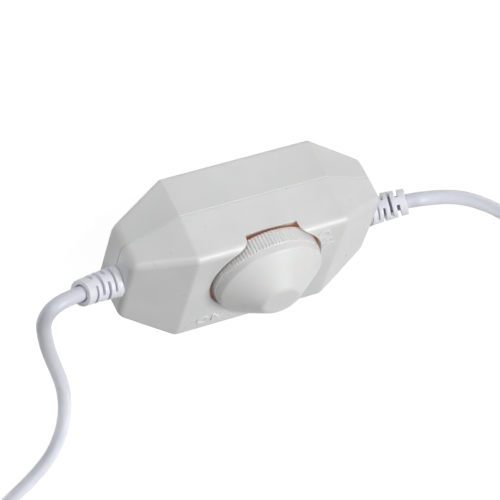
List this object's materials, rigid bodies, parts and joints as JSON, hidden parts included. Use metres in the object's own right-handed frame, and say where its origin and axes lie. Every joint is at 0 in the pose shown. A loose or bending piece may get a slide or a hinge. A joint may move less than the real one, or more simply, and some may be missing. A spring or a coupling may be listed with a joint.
{
  "type": "light dimmer",
  "caption": "In-line cord dimmer for a lamp: faceted white housing, ribbed rotary knob in an off-centre pocket, and a lead from each end.",
  "frame": {"origin": "middle of the flat back face of the housing, on which the dimmer lies", "axes": "+X along the leads toward the lamp end, +Y toward the thumb notch, +Z out of the front along the knob's axis"},
  "size_m": [0.3559, 0.2739, 0.0479],
  "materials": {
    "front_housing_plastic": "satin, finely textured",
    "rear_housing_plastic": "satin, finely textured",
    "knob_plastic": "satin",
    "lead_sheath": "smooth soft PVC",
    "strain_relief_pvc": "soft PVC",
    "plug_pvc": "smooth moulded PVC",
    "nickel_plated_brass": "bright nickel plate",
    "zinc_plated_steel": "zinc plated",
    "zinc_casting": "dull cast zinc",
    "stamped_steel": "tin plated",
    "black_moulding": "moulded phenolic",
    "board_laminate": "paper laminate",
    "track_laminate": "carbon track on laminate",
    "shaft_nylon": "moulded nylon",
    "capacitor_red": "dipped epoxy",
    "capacitor_yellow": "plastic case",
    "resistor_coat": "lacquer",
    "component_glass": "clear glass",
    "insulation_brown": "smooth PVC",
    "tinned_copper": "tinned"
  },
  "bodies": {
    "dimmer": {"rear_cover": "rear_housing_plastic", "front_cover": "front_housing_plastic", "cover_screws": "zinc_plated_steel", "pot_bushing": "zinc_casting", "pot_can": "stamped_steel", "pot_track": "track_laminate", "switch_block": "black_moulding", "pot_washer": "zinc_plated_steel", "pot_nut": "zinc_plated_steel", "circuit_board": "board_laminate", "triac": "black_moulding", "main_capacitor": "capacitor_yellow", "timing_capacitor": "capacitor_red", "diac": "component_glass", "resistors": "resistor_coat", "fuse": "component_glass", "wires_left": "insulation_brown", "wires_right": "insulation_brown", "strain_relief_left": "strain_relief_pvc", "strain_relief_right": "strain_relief_pvc", "cord_left": "lead_sheath", "coil_left": "lead_sheath", "cord_left_end": "lead_sheath", "plug_body": "plug_pvc", "plug_pins": "nickel_plated_brass", "cord_right": "lead_sheath", "coil_right": "lead_sheath", "cord_right_end": "lead_sheath", "lamp_conductors": "insulation_brown", "lamp_end_sleeves": "tinned_copper"},
    "turning_knob": {"knob": "knob_plastic", "pot_shaft": "shaft_nylon"}
  },
  "joints": [
    {"name": "knob_turn", "type": "hinge", "parent": "dimmer", "child": "turning_knob", "pos_m": [0.0004, 0.0058, 0.031], "axis": [0, 0, 1], "range_deg": [-300, 0]}
  ]
}
